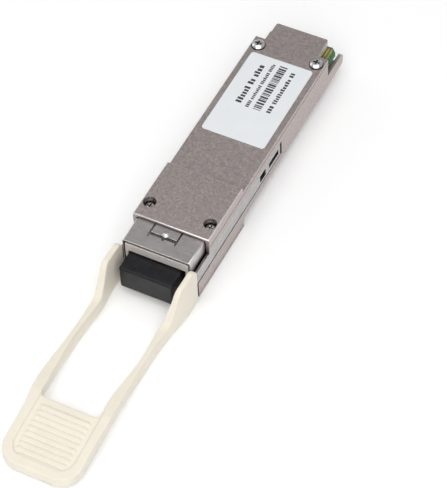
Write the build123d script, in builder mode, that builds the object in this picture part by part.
from build123d import *

import math
import os

# Four-lane pluggable optical transceiver with one LC port, a pull-tab release and a dust plug.
# Millimetres. The origin is on the centreline of the heat-sink face, in the plane of the hard stop.
# +Y runs into the cage, towards the card edge. +Z is the outward normal of the label face.

os.makedirs("parts", exist_ok=True)

# ---- driving dimensions ----
BODY_WIDTH = 18.35
BODY_THICKNESS = 8.5
PLATE_REAR = 50.9
FLANGE_REAR = 52.4
COVER_REAR = 44.1
HOOD_WIDTH = 13.1
HOOD_REAR = 49.9
HEAD_WIDTH = 18.4
HEAD_BOTTOM = -3.0
HEAD_TOP = 10.0
HEAD_FRONT_TOP = -16.3
HEAD_FRONT_BOTTOM = -21.9
NOSE_FRONT = -23.2
NOSE_TOP = 9.2
NOSE_WIDTH = 16.4
TAB_TIP = -78.0
PORT_X = -2.9
PORT_Z = 2.6

# ---- working allowances ----
PAST = 1.0
BITE = 0.1
SLIP = 0.05

# ---- shells ----
FLOOR_TOP = 1.3
LID_UNDERSIDE = 7.3
WALL_INNER = 7.6
REAR_WALL_INNER = 8.37
REAR_ROOM_FRONT = 43.3
FLANGE_TOP = 3.2
FLANGE_ROUND = 1.2
HEAD_FLOOR = -1.9
OPTICS_ROOM_FRONT = -9.6
BOSS_ROOM_FRONT = -14.0
BOSS_ROOM_HALF = 5.8
SHIELD_ROOM_HALF = 8.35
FRONT_SILL_TOP = 1.7
HOOD_UNDERSIDE = 6.9
HOOD_ROOT = 43.5
HOOD_CORNER = 0.5
LID_POCKET_HALF = 6.8
LID_POCKET_REAR = -0.9
LID_POCKET_TOP = 8.9
EDGE_ROUND = 0.3
SEAM_DEPTH = 0.15
SEAM_HEIGHT = 0.18
LEDGES = (4.0, 25.0, 34.0)
LEDGE_HALF_LENGTH = 1.0
LEDGE_INNER = 6.3

# ---- screws ----
SCREW_SHAFT = 0.8
SCREW_HOLE = 0.85
# shape of a screw head, as shares of its height or radius
SCREW_CROWN = 0.45
CROWN_MIDDLE = 0.72
RECESS_FLOOR = 0.42
RECESS_REACH = 0.55
RECESS_SLOT = 0.13
FRONT_SCREW_X = 7.34
FRONT_SCREW_Y = -11.94
FRONT_COUNTERBORE = 1.5
FRONT_SEAT = 7.95
FRONT_TIP = -2.5
FRONT_HEAD_RADIUS = 1.3
FRONT_HEAD_HEIGHT = 0.7
REAR_SCREW_X = 7.35
REAR_SCREW_Y = 41.6
REAR_COUNTERBORE = 1.7
REAR_SEAT = 8.35
REAR_TIP = 0.4
REAR_HEAD_RADIUS = 1.5
REAR_HEAD_HEIGHT = 0.95
REAR_POST = 1.4

# ---- release slider and its springs ----
ARM_INNER = 8.6
ARM_OUTER = 9.1
ARM_LOW = 1.9
ARM_HIGH = 5.5
ARM_FRONT = -29.4
ARM_REAR = 18.8
GROOVE_INNER = 8.5
GROOVE_GAP = 0.1
GROOVE_END = 19.4
LATCH_FRONT = 8.6
LATCH_REAR = 11.4
LATCH_LOW = 2.7
LATCH_HIGH = 4.7
LATCH_POCKET_INNER = 7.9
LATCH_POCKET_FRONT = 8.0
LATCH_POCKET_REAR = 11.6
SPRING_X = 7.75
SPRING_Z = 3.7
SPRING_FRONT = 12.7
SPRING_REAR = 18.3
SPRING_RADIUS = 0.58
SPRING_WIRE = 0.12
SPRING_TURNS = 7
SPRING_END_GAP = 0.02
SPRING_WINDOW_HALF = 0.75
WINDOW_INSET = 0.4
HOOK_HALF = 0.7
POCKET_HALF = 0.85
POCKET_WALL_INNER = 6.4
POCKET_WALL_TOP = 6.1
POCKET_WALL = 0.8

# ---- board ----
BOARD_LOW = 3.7
BOARD_HIGH = 4.7
BOARD_FRONT = 0.8
BOARD_REAR = 51.4
BOARD_HALF = 7.4
CARD_FRONT = 43.5
CARD_HALF = 8.21
CARD_CHAMFER = 1.2
SPRING_NOTCH = (16.05, 8.9)
POST_NOTCH = (REAR_SCREW_Y, 3.4)
NOTCH_WIDTH = 3.4
CONTACT_COUNT = 19
CONTACT_PITCH = 0.8
CONTACT_LENGTH = 4.0
CONTACT_WIDTH = 0.5
CONTACT_SETBACK = 2.6
CONTACT_LAYER = 0.05

# ---- parts on the board: centre in plan, size in plan, height ----
PROCESSOR = ((0, 24.5), (9, 9), 1.3)
DRIVER = ((-1.5, 8), (5, 5), 0.9)
MICROCONTROLLER = ((-2.4, 33), (5, 5), 0.85)
CRYSTAL = ((3.4, 19.5), (3.2, 2.5), 0.75)
INDUCTOR = ((4.2, 29), (2.8, 2.8), 1.4)
INDUCTOR_COUNT = 3
INDUCTOR_PITCH = 3.4
CAPACITOR_CENTRE = (-2.5, 14)
CAPACITOR_SIZE = (1.0, 0.55, 0.6)
CAPACITOR_PITCH = (1.8, 1.5)
CAPACITOR_GRID = (3, 5)
ABSORBER = ((0, 22), (11, 18), 0.7)
ABSORBER_CORNER = 1.0
CHIP_CORNER = 0.3

# ---- nose ----
SHEET = 0.3
SHIELD_REAR = -14.1
SHIELD_CORNER = 0.45
LANCE_LEFT = -3.7
LANCE_RIGHT = 2.85
LANCE_BAR = -19.05
LANCE_BAR_SLOT = 0.75
LANCE_SIDE_SLOT = 0.4
LANCE_SIDE_FRONT = -20.0
LANCE_SIDE_REAR = -16.1
LANCE_NOTCH = (-0.55, 0.1)
LANCE_NOTCH_FRONT = -19.95
BOSS_X = -0.25
BOSS_Y = -18.05
BOSS_RADIUS = 0.95
BOSS_SINK = 0.6
INSERT_HALF = 7.7
INSERT_FRONT = -23.15
INSERT_FACE = -21.4
INSERT_TOP = 8.2
INSERT_RAIL = 5.95
INSERT_CORNER = 0.3
RAIL_INNER = 6.86
BEAD_Z = -1.3
BEAD_RADIUS = 0.45
LANCE_POCKET_FLOOR = 6.3
RECEPTACLE_HALF = 2.85
CHANNEL_HALF = 2.45
LATCH_NOTCH_HALF = 1.4
LATCH_NOTCH_REAR = -15.0
RECEPTACLE_REAR = -9.0
CHANNEL_REAR = -9.6

# ---- optics ----
BARREL_FRONT = -16.0
BARREL_OUTER = 1.45
BARREL_FLANGE = 2.2
SLEEVE_FRONT = -15.9
SLEEVE_REAR = -11.4
SLEEVE_BORE = 0.625
SLEEVE_OUTER = 0.8
SLEEVE_SLIP = 0.03
STUB_RADIUS = 0.43
STUB_BORE = 0.46
OPTICS_FRONT = -8.3
OPTICS_REAR = -2.6
OPTICS_HALF = 3.0
OPTICS_BEVEL = 0.5
CAN_RADIUS = 2.2
CAN_LENGTH = 1.4
CAN_RIM_RADIUS = 2.6
CAN_RIM = 0.5
FLEX = 0.15
FLEX_HALF = 2.0
FLEX_LAP = 3.2
LASER_FLEX_LOW = 0.6
DETECTOR_FLEX_LOW = 0.9
DETECTOR_FLEX_REACH = 5.9
CLAMP_HALF = 7.2
CLAMP_HALF_LENGTH = 2.2
CLAMP_SHEET = 0.5
CLAMP_BEND = 0.4

# ---- label ----
LABEL_WIDTH = 15.6
LABEL_FRONT = 13.2
LABEL_REAR = 39.2
LABEL_CORNER = 0.8
LABEL_FILM = 0.1

# ---- pull tab ----
EAR_INNER = 8.3
EAR_OUTER = 9.65
EAR_REAR = -22.9
EAR_TOP = 8.3
EAR_ROUND = 2.2
STRIP_UNDERSIDE = -2.4
LOOP_END = -61.8
LOOP_ROUND = 1.0
GRIP_START = -61.0
GRIP_TOP = 2.3
GRIP_SLOPE = 7.5
GRIP_THICKNESS = 2.5
GRIP_HALF = 9.1
GRIP_ROUND = 4.6
FIELD_HALF = 7.1
FIELD_RIM = 2.0
FIELD_CORNER = 3.4
FIELD_DEPTH = 0.5
FIELD_OVERRUN = 4.0
RIB_COUNT = 10
RIB_PITCH = 1.29
RIB_LENGTH = 11.6
RIB_LAST_LENGTH = 9.4
RIB_WIDTH = 0.74
RIB_HEIGHT = 0.36
FIRST_RIB = -64.1
TAB_ENVELOPE = 24.0
# half-widths of the tab's outline at stations along Y, outside and inside the finger loop
OUTER_STATIONS = (
    (-27.0, EAR_OUTER),
    (-33.0, 9.35),
    (-40.0, 9.0),
    (-47.0, 9.0),
    (-55.0, 9.4),
    (-61.0, 9.45),
    (-67.0, GRIP_HALF),
)
INNER_STATIONS = (
    (-28.0, EAR_INNER),
    (-33.4, 7.5),
    (-40.0, 7.6),
    (-46.0, 7.75),
    (-51.0, 7.4),
    (-56.0, 7.0),
    (LOOP_END + LOOP_ROUND, 6.9),
)
# the limp strips lean to the left by this much between these places
LEAN = 0.55
LEAN_FROM = -28.0
LEAN_IN = 8.0
LEAN_UNTIL = -64.0
LEAN_OUT = 6.0
# side view of the tab: points of the S-bend along its top and of the sweep along its underside;
# after the S-bend the strips rise towards the grip by this much for each millimetre
STRIP_RISE = 0.049
S_BEND = (
    (-28.8, EAR_TOP),
    (-30.7, 7.1),
    (-32.1, 4.5),
    (-33.6, 2.2),
    (-37.5, 1.15),
)
UNDERSIDE = (
    (GRIP_START, GRIP_TOP - GRIP_THICKNESS),
    (-56.0, -0.6),
    (-50.0, -1.8),
    (-40.0, STRIP_UNDERSIDE),
)

# ---- dust plug ----
PLUG_BAR_FRONT = -28.0
PLUG_BAR_REAR = -21.5
PLUG_BAR_LEFT = -6.8
PLUG_BAR_RIGHT = 6.1
PLUG_BAR_LOW = -0.75
PLUG_BAR_HIGH = 5.6
PLUG_ROUND = 0.5
PLUG_STEM_END = -9.8
PLUG_STEM_HALF = 2.35
PLUG_STEM_BEVEL = 0.25
PLUG_HOLE = 1.6
PLUG_HOLE_BOTTOM = -20.2

body_half = BODY_WIDTH / 2
head_half = HEAD_WIDTH / 2
nose_half = NOSE_WIDTH / 2
hood_half = HOOD_WIDTH / 2
outside = head_half + PAST


def block(x, y, z, mode=Mode.ADD):
    """Adds or cuts a box between (low, high) limits along each axis of the current part."""
    with Locations(((x[0] + x[1]) / 2, (y[0] + y[1]) / 2, (z[0] + z[1]) / 2)):
        Box(x[1] - x[0], y[1] - y[0], z[1] - z[0], mode=mode)


def cut(x, y, z):
    """Cuts a box between (low, high) limits along each axis."""
    block(x, y, z, Mode.SUBTRACT)


def both_sides(x, y, z, mode=Mode.ADD):
    """The same box on the right and mirrored to the left of the centreline."""
    block(x, y, z, mode)
    block((-x[1], -x[0]), y, z, mode)


def rod(x, y, z, radius, mode=Mode.ADD):
    """Adds or cuts a vertical cylinder at (x, y) between the z limits."""
    with BuildSketch(Plane.XY.offset(z[0])) as end:
        with Locations((x, y)):
            Circle(radius)
    extrude(end.sketch, amount=z[1] - z[0], mode=mode)


def port_rod(y, radius, mode=Mode.ADD):
    """Adds or cuts a cylinder on the optical axis between the y limits."""
    with BuildSketch(Plane(origin=(PORT_X, y[0], PORT_Z), z_dir=(0, 1, 0))) as end:
        Circle(radius)
    extrude(end.sketch, amount=y[1] - y[0], mode=mode)


def save(part, name):
    """Labels a finished piece and writes its STEP file."""
    part.label = name
    export_step(part, f"parts/{name}.step")


# ---- heat_sink_housing: trough, head floor, screw bosses, slider grooves ----
with BuildPart() as heat_sink_housing:
    block((-body_half, body_half), (0, PLATE_REAR), (0, LID_UNDERSIDE))
    block((-head_half, head_half), (HEAD_FRONT_TOP, 0), (HEAD_BOTTOM, LID_UNDERSIDE))
    block((-head_half, head_half), (HEAD_FRONT_BOTTOM, HEAD_FRONT_TOP), (HEAD_BOTTOM, FRONT_SILL_TOP))
    # the rooms inside, from the card edge to the nose
    head_room_z = (HEAD_FLOOR, LID_UNDERSIDE)
    cut((-REAR_WALL_INNER, REAR_WALL_INNER), (REAR_ROOM_FRONT, PLATE_REAR), (FLOOR_TOP, LID_UNDERSIDE))
    cut((-WALL_INNER, WALL_INNER), (0, REAR_ROOM_FRONT), (FLOOR_TOP, LID_UNDERSIDE))
    cut((-WALL_INNER, WALL_INNER), (OPTICS_ROOM_FRONT, 0), head_room_z)
    cut((-BOSS_ROOM_HALF, BOSS_ROOM_HALF), (BOSS_ROOM_FRONT, OPTICS_ROOM_FRONT), head_room_z)
    cut((-SHIELD_ROOM_HALF, SHIELD_ROOM_HALF), (HEAD_FRONT_BOTTOM, BOSS_ROOM_FRONT), head_room_z)
    # the rear walls are low, so the card edge stands free, and end in rounded flanges
    above_low_wall = (FLANGE_TOP, LID_UNDERSIDE)
    both_sides((REAR_WALL_INNER, outside), (COVER_REAR, PLATE_REAR), above_low_wall, Mode.SUBTRACT)
    arc_start = FLANGE_REAR - FLANGE_ROUND
    for side in (-1, 1):
        with BuildSketch(Plane.YZ.offset(side * (REAR_WALL_INNER + body_half) / 2)):
            with BuildLine():
                Polyline((PLATE_REAR - PAST, 0), (arc_start, 0))
                RadiusArc((arc_start, 0), (FLANGE_REAR, FLANGE_ROUND), -FLANGE_ROUND)
                Line((FLANGE_REAR, FLANGE_ROUND), (FLANGE_REAR, FLANGE_TOP - FLANGE_ROUND))
                RadiusArc((FLANGE_REAR, FLANGE_TOP - FLANGE_ROUND), (arc_start, FLANGE_TOP), -FLANGE_ROUND)
                Polyline((arc_start, FLANGE_TOP), (PLATE_REAR - PAST, FLANGE_TOP), (PLATE_REAR - PAST, 0))
            make_face()
        extrude(amount=(body_half - REAR_WALL_INNER) / 2, both=True)
    # posts under the rear screws
    for side in (-1, 1):
        rod(side * REAR_SCREW_X, REAR_SCREW_Y, (0, LID_UNDERSIDE), REAR_POST)
    # ledges that carry the board
    for ledge in LEDGES:
        ledge_y = (ledge - LEDGE_HALF_LENGTH, ledge + LEDGE_HALF_LENGTH)
        both_sides((LEDGE_INNER, WALL_INNER + BITE), ledge_y, (FLOOR_TOP - BITE, BOARD_LOW - SLIP))
    # spring pockets, thickened inwards
    pocket_wall_y = (SPRING_FRONT - POCKET_WALL, GROOVE_END + POCKET_WALL)
    both_sides((POCKET_WALL_INNER, WALL_INNER + BITE), pocket_wall_y, (FLOOR_TOP - BITE, POCKET_WALL_TOP))
    # grooves for the slider, the latch pockets and the spring pockets
    groove_z = (ARM_LOW - GROOVE_GAP, ARM_HIGH + GROOVE_GAP)
    pocket_z = (SPRING_Z - POCKET_HALF, SPRING_Z + POCKET_HALF)
    latch_pocket_y = (LATCH_POCKET_FRONT, LATCH_POCKET_REAR)
    both_sides((GROOVE_INNER, outside), (HEAD_FRONT_TOP - PAST, GROOVE_END), groove_z, Mode.SUBTRACT)
    both_sides((LATCH_POCKET_INNER, outside), latch_pocket_y, groove_z, Mode.SUBTRACT)
    pocket_x = (SPRING_X - POCKET_HALF, GROOVE_INNER + BITE)
    both_sides(pocket_x, (SPRING_FRONT, GROOVE_END), pocket_z, Mode.SUBTRACT)
    # screw holes, right through
    for side in (-1, 1):
        through = (HEAD_BOTTOM - PAST, LID_UNDERSIDE)
        rod(side * REAR_SCREW_X, REAR_SCREW_Y, through, SCREW_HOLE, Mode.SUBTRACT)
        rod(side * FRONT_SCREW_X, FRONT_SCREW_Y, through, SCREW_HOLE, Mode.SUBTRACT)
    # soft outer edges along the heat-sink face of the head
    fillet(heat_sink_housing.faces().sort_by(Axis.Z)[0].outer_wire().edges(), EDGE_ROUND)
save(heat_sink_housing.part, "heat_sink_housing")

# ---- label_cover: lid, raised head plate and the hood over the card edge ----
with BuildPart() as label_cover:
    block((-body_half, body_half), (0, COVER_REAR), (LID_UNDERSIDE, BODY_THICKNESS))
    block((-hood_half, hood_half), (HOOD_ROOT, HOOD_REAR), (HOOD_UNDERSIDE, BODY_THICKNESS))
    block((-head_half, head_half), (HEAD_FRONT_TOP, 0), (LID_UNDERSIDE, HEAD_TOP))
    fillet(label_cover.faces().sort_by(Axis.Z)[-1].outer_wire().edges(), EDGE_ROUND)
    # rooms over the optics and over the rear of the nose shield
    optics_room_y = (OPTICS_ROOM_FRONT, LID_POCKET_REAR)
    cut((-LID_POCKET_HALF, LID_POCKET_HALF), optics_room_y, (LID_UNDERSIDE, LID_POCKET_TOP))
    shield_room_z = (LID_UNDERSIDE, NOSE_TOP + SLIP)
    cut((-SHIELD_ROOM_HALF, SHIELD_ROOM_HALF), (HEAD_FRONT_TOP, BOSS_ROOM_FRONT), shield_room_z)
    # a fine seam line above the housing's rim
    seam_z = (LID_UNDERSIDE, LID_UNDERSIDE + SEAM_HEIGHT)
    both_sides((body_half - SEAM_DEPTH, outside), (HEAD_FRONT_TOP, COVER_REAR), seam_z, Mode.SUBTRACT)
    for side in (-1, 1):
        x = side * FRONT_SCREW_X
        rod(x, FRONT_SCREW_Y, (FRONT_SEAT, HEAD_TOP), FRONT_COUNTERBORE, Mode.SUBTRACT)
        rod(x, FRONT_SCREW_Y, (LID_UNDERSIDE, FRONT_SEAT), SCREW_HOLE, Mode.SUBTRACT)
        x = side * REAR_SCREW_X
        rod(x, REAR_SCREW_Y, (REAR_SEAT, BODY_THICKNESS), REAR_COUNTERBORE, Mode.SUBTRACT)
        rod(x, REAR_SCREW_Y, (LID_UNDERSIDE, REAR_SEAT), SCREW_HOLE, Mode.SUBTRACT)
    hood_corners = label_cover.edges().filter_by(Axis.Z).group_by(Axis.Y)[-1]
    fillet(hood_corners, HOOD_CORNER)
save(label_cover.part, "label_cover")


# ---- screws ----
def screw(place, seat, tip, head_radius, head_height):
    """A pan-head cross-recess screw standing on its seat, with its shaft down to the tip."""
    x, y = place
    crown = head_height * SCREW_CROWN
    shoulder = seat + head_height - crown
    with BuildSketch(Plane.XZ.offset(-y)) as profile:
        with BuildLine():
            Polyline((x, tip), (x + SCREW_SHAFT, tip), (x + SCREW_SHAFT, seat), (x + head_radius, seat))
            Line((x + head_radius, seat), (x + head_radius, shoulder))
            ThreePointArc(
                (x + head_radius, shoulder),
                (x + head_radius * CROWN_MIDDLE, shoulder + crown * CROWN_MIDDLE),
                (x, seat + head_height),
            )
            Line((x, seat + head_height), (x, tip))
        make_face()
    revolve(profile.sketch, axis=Axis((x, y, 0), (0, 0, 1)), revolution_arc=360)
    recess_z = (seat + head_height * RECESS_FLOOR, seat + head_height + PAST)
    wing = head_radius * RECESS_REACH
    slot = head_radius * RECESS_SLOT
    cut((x - wing, x + wing), (y - slot, y + slot), recess_z)
    cut((x - slot, x + slot), (y - wing, y + wing), recess_z)


with BuildPart() as rear_screws:
    for side in (-1, 1):
        place = (side * REAR_SCREW_X, REAR_SCREW_Y)
        screw(place, REAR_SEAT, REAR_TIP, REAR_HEAD_RADIUS, REAR_HEAD_HEIGHT)
save(rear_screws.part, "rear_screws")

with BuildPart() as front_screws:
    for side in (-1, 1):
        place = (side * FRONT_SCREW_X, FRONT_SCREW_Y)
        screw(place, FRONT_SEAT, FRONT_TIP, FRONT_HEAD_RADIUS, FRONT_HEAD_HEIGHT)
save(front_screws.part, "front_screws")

# ---- nose_shield: U-shaped sheet over the nose, with an H-shaped lance and a pressed boss ----
through_sheet = (NOSE_TOP - PAST, NOSE_TOP + PAST)
with BuildPart() as nose_shield:
    block((-nose_half, nose_half), (NOSE_FRONT, SHIELD_REAR), (HEAD_FLOOR + SLIP, NOSE_TOP))
    fillet(nose_shield.edges().filter_by(Axis.Y).group_by(Axis.Z)[-1], SHIELD_CORNER)
    shield_inner = nose_half - SHEET
    cut((-shield_inner, shield_inner), (NOSE_FRONT, SHIELD_REAR), (HEAD_FLOOR, NOSE_TOP - SHEET))
    bar_y = (LANCE_BAR - LANCE_BAR_SLOT / 2, LANCE_BAR + LANCE_BAR_SLOT / 2)
    cut((LANCE_LEFT, LANCE_RIGHT), bar_y, through_sheet)
    for middle in (LANCE_LEFT, LANCE_RIGHT):
        slot_x = (middle - LANCE_SIDE_SLOT / 2, middle + LANCE_SIDE_SLOT / 2)
        cut(slot_x, (LANCE_SIDE_FRONT, LANCE_SIDE_REAR), through_sheet)
    cut(LANCE_NOTCH, (LANCE_NOTCH_FRONT, LANCE_BAR), through_sheet)
    with Locations((BOSS_X, BOSS_Y, NOSE_TOP - BOSS_SINK)):
        Sphere(BOSS_RADIUS)
    boss_x = (BOSS_X - BOSS_RADIUS, BOSS_X + BOSS_RADIUS)
    boss_y = (BOSS_Y - BOSS_RADIUS, BOSS_Y + BOSS_RADIUS)
    cut(boss_x, boss_y, (NOSE_TOP - BOSS_SINK - BOSS_RADIUS, NOSE_TOP - SHEET))
save(nose_shield.part, "nose_shield")

# ---- nose_insert: die-cast filler with the recessed front face and the receptacle window ----
window = RECEPTACLE_HALF + SLIP
insert_low = HEAD_FLOOR + SLIP
with BuildPart() as nose_insert:
    block((-INSERT_HALF, INSERT_HALF), (INSERT_FRONT, SHIELD_REAR), (insert_low, INSERT_TOP))
    fillet(nose_insert.edges().filter_by(Axis.Y).group_by(Axis.Z)[-1], INSERT_CORNER)
    cut((-RAIL_INNER, RAIL_INNER), (INSERT_FRONT, INSERT_FACE), (insert_low, INSERT_RAIL))
    # a pocket under the lance, so that its tongues can spring
    lance_room = (LANCE_LEFT - LANCE_SIDE_SLOT, LANCE_RIGHT + LANCE_SIDE_SLOT)
    cut(lance_room, (LANCE_SIDE_FRONT - LANCE_SIDE_SLOT, SHIELD_REAR), (LANCE_POCKET_FLOOR, INSERT_TOP))
    # a rounded bead across the face, next to the heat-sink side
    with BuildSketch(Plane.YZ.offset(-RAIL_INNER)):
        with Locations((INSERT_FACE, BEAD_Z)):
            Circle(BEAD_RADIUS)
    extrude(amount=2 * RAIL_INNER)
    window_z = (PORT_Z - window, PORT_Z + window)
    cut((PORT_X - window, PORT_X + window), (INSERT_FRONT, SHIELD_REAR), window_z)
    notch_x = (PORT_X - LATCH_NOTCH_HALF - BITE, PORT_X + LATCH_NOTCH_HALF + BITE)
    cut(notch_x, (INSERT_FRONT, LATCH_NOTCH_REAR), (insert_low, PORT_Z))
save(nose_insert.part, "nose_insert")

# ---- lc_receptacle: plastic liner of the port, with the latch notch and the barrel's hole ----
with BuildPart() as lc_receptacle:
    outer_x = (PORT_X - RECEPTACLE_HALF, PORT_X + RECEPTACLE_HALF)
    outer_z = (PORT_Z - RECEPTACLE_HALF, PORT_Z + RECEPTACLE_HALF)
    channel_x = (PORT_X - CHANNEL_HALF, PORT_X + CHANNEL_HALF)
    channel_z = (PORT_Z - CHANNEL_HALF, PORT_Z + CHANNEL_HALF)
    notch_x = (PORT_X - LATCH_NOTCH_HALF, PORT_X + LATCH_NOTCH_HALF)
    block(outer_x, (INSERT_FACE, RECEPTACLE_REAR), outer_z)
    cut(channel_x, (INSERT_FACE, CHANNEL_REAR), channel_z)
    cut(notch_x, (INSERT_FACE, LATCH_NOTCH_REAR), (outer_z[0], PORT_Z))
    port_rod((CHANNEL_REAR, RECEPTACLE_REAR), BARREL_OUTER + SLIP, Mode.SUBTRACT)
save(lc_receptacle.part, "lc_receptacle")

# ---- receptacle_barrel, ceramic_sleeve and fibre_stub: the ferrule seat on the optical axis ----
barrel_rear = OPTICS_FRONT - BITE
with BuildPart() as receptacle_barrel:
    port_rod((BARREL_FRONT, barrel_rear), BARREL_OUTER)
    port_rod((RECEPTACLE_REAR + BITE, barrel_rear), BARREL_FLANGE)
    port_rod((BARREL_FRONT, SLEEVE_REAR), SLEEVE_OUTER + SLEEVE_SLIP, Mode.SUBTRACT)
    port_rod((SLEEVE_REAR, OPTICS_FRONT), STUB_BORE, Mode.SUBTRACT)
    chamfer(receptacle_barrel.edges().sort_by(Axis.Y)[0], BITE)
save(receptacle_barrel.part, "receptacle_barrel")

with BuildPart() as ceramic_sleeve:
    port_rod((SLEEVE_FRONT, SLEEVE_REAR), SLEEVE_OUTER)
    port_rod((SLEEVE_FRONT, SLEEVE_REAR), SLEEVE_BORE, Mode.SUBTRACT)
save(ceramic_sleeve.part, "ceramic_sleeve")

with BuildPart() as fibre_stub:
    port_rod((SLEEVE_REAR + SLIP, barrel_rear), STUB_RADIUS)
save(fibre_stub.part, "fibre_stub")

# ---- two-way optics: block, laser can, detector can, their flexes and the clamp ----
with BuildPart() as optics_block:
    optics_x = (PORT_X - OPTICS_HALF, PORT_X + OPTICS_HALF)
    optics_z = (PORT_Z - OPTICS_HALF, PORT_Z + OPTICS_HALF)
    block(optics_x, (OPTICS_FRONT, OPTICS_REAR), optics_z)
    chamfer(optics_block.edges().filter_by(Axis.Y), OPTICS_BEVEL)
save(optics_block.part, "optics_block")

with BuildPart() as laser_can:
    port_rod((OPTICS_REAR, OPTICS_REAR + CAN_LENGTH), CAN_RADIUS)
    port_rod((OPTICS_REAR + CAN_LENGTH, OPTICS_REAR + CAN_LENGTH + CAN_RIM), CAN_RIM_RADIUS)
save(laser_can.part, "laser_can")

detector_x = PORT_X + OPTICS_HALF
detector_y = (OPTICS_FRONT + OPTICS_REAR) / 2
can = (detector_x, CAN_RADIUS, CAN_LENGTH)
can_rim = (detector_x + CAN_LENGTH, CAN_RIM_RADIUS, CAN_RIM)
with BuildPart() as detector_can:
    for start, radius, length in (can, can_rim):
        with BuildSketch(Plane.YZ.offset(start)):
            with Locations((detector_y, PORT_Z)):
                Circle(radius)
        extrude(amount=length)
save(detector_can.part, "detector_can")

can_back = CAN_LENGTH + CAN_RIM + SLIP
flex_low = BOARD_HIGH + SLIP
flex_z = (flex_low, flex_low + FLEX)
laser_back = OPTICS_REAR + can_back
with BuildPart() as laser_flex:
    flex_x = (PORT_X - FLEX_HALF, PORT_X + FLEX_HALF)
    block(flex_x, (laser_back, laser_back + FLEX), (LASER_FLEX_LOW, flex_z[1]))
    block(flex_x, (laser_back, FLEX_LAP), flex_z)
save(laser_flex.part, "laser_flex")

detector_back = detector_x + can_back
with BuildPart() as detector_flex:
    flex_y = (detector_y - FLEX_HALF, detector_y + FLEX_HALF)
    block((detector_back, detector_back + FLEX), flex_y, (DETECTOR_FLEX_LOW, flex_z[1]))
    block((detector_back, DETECTOR_FLEX_REACH), (flex_y[0], FLEX_LAP), flex_z)
save(detector_flex.part, "detector_flex")

with BuildPart() as optics_clamp:
    clamp_y = (detector_y - CLAMP_HALF_LENGTH, detector_y + CLAMP_HALF_LENGTH)
    clamp_low = PORT_Z + OPTICS_HALF + SLIP
    block((-CLAMP_HALF, CLAMP_HALF), clamp_y, (clamp_low, clamp_low + CLAMP_SHEET))
    both_sides((CLAMP_HALF - CLAMP_SHEET, CLAMP_HALF), clamp_y, (HEAD_FLOOR, clamp_low + CLAMP_SHEET))
    fillet(optics_clamp.edges().filter_by(Axis.Y).group_by(Axis.Z)[-1], CLAMP_BEND)
save(optics_clamp.part, "optics_clamp")

# ---- main_board: narrow inside the shells, full width at the card edge ----
with BuildPart() as main_board:
    with BuildSketch(Plane.XY.offset(BOARD_LOW)):
        with Locations((0, (BOARD_FRONT + CARD_FRONT) / 2)):
            Rectangle(2 * BOARD_HALF, CARD_FRONT - BOARD_FRONT + 2 * BITE)
        with Locations((0, (CARD_FRONT + BOARD_REAR) / 2)):
            Rectangle(2 * CARD_HALF, BOARD_REAR - CARD_FRONT)
        for notch_y, notch_length in (SPRING_NOTCH, POST_NOTCH):
            with Locations((BOARD_HALF, notch_y), (-BOARD_HALF, notch_y)):
                Rectangle(NOTCH_WIDTH, notch_length, mode=Mode.SUBTRACT)
    extrude(amount=BOARD_HIGH - BOARD_LOW)
    chamfer(main_board.edges().filter_by(Axis.Z).group_by(Axis.Y)[-1], CARD_CHAMFER)
save(main_board.part, "main_board")


def contacts(z):
    """One row of card-edge contacts in a layer that lies on the board."""
    with BuildSketch(Plane.XY.offset(z)) as pads:
        with Locations((0, BOARD_REAR - CONTACT_SETBACK)):
            with GridLocations(CONTACT_PITCH, 0, CONTACT_COUNT, 1):
                RectangleRounded(CONTACT_WIDTH, CONTACT_LENGTH, BITE)
    extrude(pads.sketch, amount=CONTACT_LAYER)


with BuildPart() as top_contacts:
    contacts(BOARD_HIGH)
save(top_contacts.part, "top_contacts")

with BuildPart() as bottom_contacts:
    contacts(BOARD_LOW - CONTACT_LAYER)
save(bottom_contacts.part, "bottom_contacts")


def chip(centre, size, z, corner=CHIP_CORNER):
    """A square package between the z limits, with softened upright edges."""
    with BuildSketch(Plane.XY.offset(z[0])) as outline:
        with Locations(centre):
            RectangleRounded(size[0], size[1], corner)
    extrude(outline.sketch, amount=z[1] - z[0])


def hanging_chip_and_pad(package, chip_name, pad_name):
    """A package under the board and the gap pad between it and the housing's floor."""
    centre, size, height = package
    with BuildPart() as package_part:
        chip(centre, size, (BOARD_LOW - height, BOARD_LOW))
    save(package_part.part, chip_name)
    with BuildPart() as pad_part:
        chip(centre, size, (FLOOR_TOP, BOARD_LOW - height))
    save(pad_part.part, pad_name)


hanging_chip_and_pad(PROCESSOR, "signal_processor", "processor_pad")
hanging_chip_and_pad(DRIVER, "laser_driver", "driver_pad")

with BuildPart() as microcontroller:
    chip(MICROCONTROLLER[0], MICROCONTROLLER[1], (BOARD_HIGH, BOARD_HIGH + MICROCONTROLLER[2]))
save(microcontroller.part, "microcontroller")

with BuildPart() as clock_crystal:
    chip(CRYSTAL[0], CRYSTAL[1], (BOARD_HIGH, BOARD_HIGH + CRYSTAL[2]))
save(clock_crystal.part, "clock_crystal")

with BuildPart() as power_inductors:
    for row in range(INDUCTOR_COUNT):
        centre = (INDUCTOR[0][0], INDUCTOR[0][1] + INDUCTOR_PITCH * row)
        chip(centre, INDUCTOR[1], (BOARD_HIGH, BOARD_HIGH + INDUCTOR[2]))
save(power_inductors.part, "power_inductors")

with BuildPart() as ceramic_capacitors:
    with Locations((*CAPACITOR_CENTRE, BOARD_HIGH + CAPACITOR_SIZE[2] / 2)):
        with GridLocations(*CAPACITOR_PITCH, *CAPACITOR_GRID):
            Box(*CAPACITOR_SIZE)
save(ceramic_capacitors.part, "ceramic_capacitors")

with BuildPart() as absorber_sheet:
    chip(ABSORBER[0], ABSORBER[1], (LID_UNDERSIDE - ABSORBER[2], LID_UNDERSIDE), ABSORBER_CORNER)
save(absorber_sheet.part, "absorber_sheet")

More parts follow.
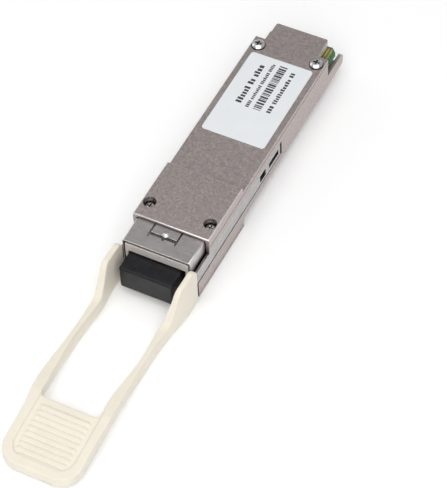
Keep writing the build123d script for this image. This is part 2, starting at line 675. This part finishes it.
# ---- label ----
with BuildPart() as label:
    with BuildSketch(Plane.XY.offset(BODY_THICKNESS)):
        with Locations((0, (LABEL_FRONT + LABEL_REAR) / 2)):
            RectangleRounded(LABEL_WIDTH, LABEL_REAR - LABEL_FRONT, LABEL_CORNER)
    extrude(amount=LABEL_FILM)
save(label.part, "label")


# ---- slider arms: thin strips in the side grooves, each with a spring hook at its rear end ----
def slide_arm(side):
    """The strip on one side; side is 1 on the right and -1 on the left."""

    def across(low, high):
        return (low, high) if side > 0 else (-high, -low)

    through = across(ARM_INNER - PAST, ARM_OUTER + PAST)
    window_z = (SPRING_Z - SPRING_WINDOW_HALF, SPRING_Z + SPRING_WINDOW_HALF)
    hook = across(SPRING_X - HOOK_HALF, ARM_INNER + BITE)
    block(across(ARM_INNER, ARM_OUTER), (ARM_FRONT, ARM_REAR), (ARM_LOW, ARM_HIGH))
    cut(through, (LATCH_FRONT, LATCH_REAR), (LATCH_LOW, LATCH_HIGH))
    cut(through, (SPRING_FRONT + WINDOW_INSET, SPRING_REAR - WINDOW_INSET), window_z)
    block(hook, (SPRING_REAR, ARM_REAR), (SPRING_Z - HOOK_HALF, SPRING_Z + HOOK_HALF))


for arm_name, side in (("right_slide_arm", 1), ("left_slide_arm", -1)):
    with BuildPart() as arm_part:
        slide_arm(side)
    save(arm_part.part, arm_name)

# ---- return springs: open coils between the pocket's front wall and the slider's hook ----
spring_inset = SPRING_WIRE + SPRING_END_GAP
spring_length = SPRING_REAR - SPRING_FRONT - 2 * spring_inset
for spring_name, side in (("right_return_spring", 1), ("left_return_spring", -1)):
    with BuildPart() as spring_part:
        with BuildLine() as coil:
            Helix(
                pitch=spring_length / SPRING_TURNS,
                height=spring_length,
                radius=SPRING_RADIUS,
                center=(side * SPRING_X, SPRING_FRONT + spring_inset, SPRING_Z),
                direction=(0, 1, 0),
            )
        with BuildSketch(Plane(origin=coil.line @ 0, z_dir=coil.line % 0)):
            Circle(SPRING_WIRE)
        sweep(is_frenet=True)
    save(spring_part.part, spring_name)


# ---- pull_tab: ears at the nose, two S-bent strips and the ribbed grip ----
def smooth_step(t):
    """Rises smoothly from 0 to 1 as t goes from 0 to 1."""
    t = min(1.0, max(0.0, t))
    return t * t * (3 - 2 * t)


def outline_points(stations, side):
    """Points of the tab's outline on one side, with the sideways lean of the limp strips."""
    points = []
    for y, half in stations:
        lean = LEAN * smooth_step((LEAN_FROM - y) / LEAN_IN) * smooth_step((y - LEAN_UNTIL) / LEAN_OUT)
        points.append((side * half - lean, y))
    return points


slope = math.radians(GRIP_SLOPE)
tip_top = GRIP_TOP + (TAB_TIP - GRIP_START) * math.tan(slope)
with BuildPart() as pull_tab:
    # outline in plan: the two halves meet on the centreline of the grip
    with BuildSketch(Plane.XY.offset(HEAD_BOTTOM - PAST)):
        for side in (-1, 1):
            outer = outline_points(OUTER_STATIONS, side)
            inner = outline_points(reversed(INNER_STATIONS), side)
            tip_corner = side * (GRIP_HALF - GRIP_ROUND)
            loop_corner = inner[0][0] - side * LOOP_ROUND
            round_start = (side * GRIP_HALF, TAB_TIP + GRIP_ROUND)
            with BuildLine():
                Line((side * EAR_INNER, EAR_REAR), (side * EAR_OUTER, EAR_REAR))
                Line((side * EAR_OUTER, EAR_REAR), outer[0])
                Spline(outer, tangents=[(0, -1), (0, -1)])
                Line(outer[-1], round_start)
                RadiusArc(round_start, (tip_corner, TAB_TIP), side * GRIP_ROUND)
                Polyline((tip_corner, TAB_TIP), (0, TAB_TIP), (0, LOOP_END), (loop_corner, LOOP_END))
                RadiusArc((loop_corner, LOOP_END), inner[0], -side * LOOP_ROUND)
                Spline(inner, tangents=[(0, 1), (0, 1)])
                Line(inner[-1], (side * EAR_INNER, EAR_REAR))
            make_face()
    extrude(amount=TAB_ENVELOPE)
    # side profile of ear, S-bend, strip and sloping grip
    with BuildSketch(Plane.YZ.offset(-TAB_ENVELOPE / 2)) as side_profile:
        with BuildLine():
            Line((EAR_REAR, STRIP_UNDERSIDE), (EAR_REAR, EAR_TOP - EAR_ROUND))
            RadiusArc((EAR_REAR, EAR_TOP - EAR_ROUND), (EAR_REAR - EAR_ROUND, EAR_TOP), -EAR_ROUND)
            Line((EAR_REAR - EAR_ROUND, EAR_TOP), S_BEND[0])
            Spline(S_BEND, tangents=[(-1, 0), (-1, STRIP_RISE)])
            Polyline(S_BEND[-1], (GRIP_START, GRIP_TOP), (TAB_TIP, tip_top))
            Polyline((TAB_TIP, tip_top), (TAB_TIP, tip_top - GRIP_THICKNESS), UNDERSIDE[0])
            Spline(UNDERSIDE, tangents=[(1, 0), (1, 0)])
            Line(UNDERSIDE[-1], (EAR_REAR, STRIP_UNDERSIDE))
        make_face()
    extrude(side_profile.sketch, amount=TAB_ENVELOPE, mode=Mode.INTERSECT)
    # recessed field with transverse ribs on the sloping grip
    grip_plane = Plane(
        origin=(0, GRIP_START, GRIP_TOP), x_dir=(1, 0, 0), z_dir=(0, -math.sin(slope), math.cos(slope))
    )
    field_end = (TAB_TIP + FIELD_RIM - GRIP_START) / math.cos(slope)
    with BuildSketch(grip_plane):
        with Locations((0, (field_end + FIELD_OVERRUN) / 2)):
            RectangleRounded(2 * FIELD_HALF, FIELD_OVERRUN - field_end, FIELD_CORNER)
    extrude(amount=-FIELD_DEPTH, mode=Mode.SUBTRACT)
    with BuildSketch(grip_plane.offset(-FIELD_DEPTH)):
        for rib in range(RIB_COUNT):
            rib_length = RIB_LENGTH if rib < RIB_COUNT - 1 else RIB_LAST_LENGTH
            with Locations((0, (FIRST_RIB - GRIP_START - RIB_PITCH * rib) / math.cos(slope))):
                SlotOverall(rib_length, RIB_WIDTH)
    extrude(amount=RIB_HEIGHT)
    # blind slots that hold the front ends of the slider strips
    slot_x = (ARM_INNER - SLIP, ARM_OUTER + SLIP)
    both_sides(slot_x, (ARM_FRONT - SLIP, EAR_REAR), (ARM_LOW - SLIP, ARM_HIGH + SLIP), Mode.SUBTRACT)
save(pull_tab.part, "pull_tab")

# ---- dust_plug: offset bar with a square stem, hollow at its end for the ferrule barrel ----
with BuildPart() as dust_plug:
    block((PLUG_BAR_LEFT, PLUG_BAR_RIGHT), (PLUG_BAR_FRONT, PLUG_BAR_REAR), (PLUG_BAR_LOW, PLUG_BAR_HIGH))
    fillet(dust_plug.edges(), PLUG_ROUND)
    stem_x = (PORT_X - PLUG_STEM_HALF, PORT_X + PLUG_STEM_HALF)
    stem_z = (PORT_Z - PLUG_STEM_HALF, PORT_Z + PLUG_STEM_HALF)
    block(stem_x, (PLUG_BAR_REAR - PAST, PLUG_STEM_END), stem_z)
    chamfer(dust_plug.faces().sort_by(Axis.Y)[-1].outer_wire().edges(), PLUG_STEM_BEVEL)
    port_rod((PLUG_HOLE_BOTTOM, PLUG_STEM_END), PLUG_HOLE, Mode.SUBTRACT)
save(dust_plug.part, "dust_plug")
